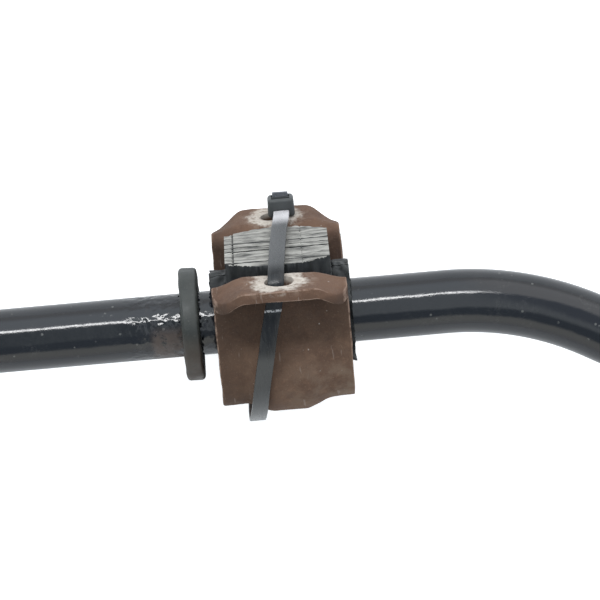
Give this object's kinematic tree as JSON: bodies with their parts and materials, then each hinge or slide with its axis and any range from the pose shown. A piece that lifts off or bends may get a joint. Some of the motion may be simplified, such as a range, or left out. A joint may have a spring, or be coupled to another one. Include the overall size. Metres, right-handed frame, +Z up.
{
  "type": "sway bar",
  "caption": "Vehicle anti-roll bar with forged end eyes, stop collars and split rubber bushings in drilled steel saddle brackets held on by cable ties.",
  "frame": {"origin": "middle of the whole bar's footprint, on the surface it lies on", "axes": "+X along the straight centre section, from the left mount to the right one; the arms reach towards -Y; +Z up"},
  "size_m": [1.069, 0.3094, 0.0794],
  "materials": {
    "bar_paint": "gloss black paint, dusty, with a dirt film beside the collars",
    "collar": "dull dark grey",
    "bushing_rubber": "black rubber with grey road dust on its raised pad",
    "bracket_steel": "bare pressed steel, brown with rust, pale washer marks round the bolt holes",
    "tie_nylon": "satin black nylon"
  },
  "bodies": {
    "bar": {"bar": "bar_paint", "collar_left": "collar", "collar_right": "collar"},
    "left_mount": {"bushing_left": "bushing_rubber", "bracket_left": "bracket_steel", "cable_tie_left": "tie_nylon"},
    "right_mount": {"bushing_right": "bushing_rubber", "bracket_right": "bracket_steel", "cable_tie_right": "tie_nylon"}
  },
  "joints": [
    {"name": "left_mount_turn", "type": "hinge", "parent": "bar", "child": "left_mount", "pos_m": [-0.3, 0.11362, 0.03185], "axis": [1, 0, 0], "continuous": true},
    {"name": "right_mount_turn", "type": "hinge", "parent": "bar", "child": "right_mount", "pos_m": [0.3, 0.11362, 0.03185], "axis": [1, 0, 0], "continuous": true}
  ]
}
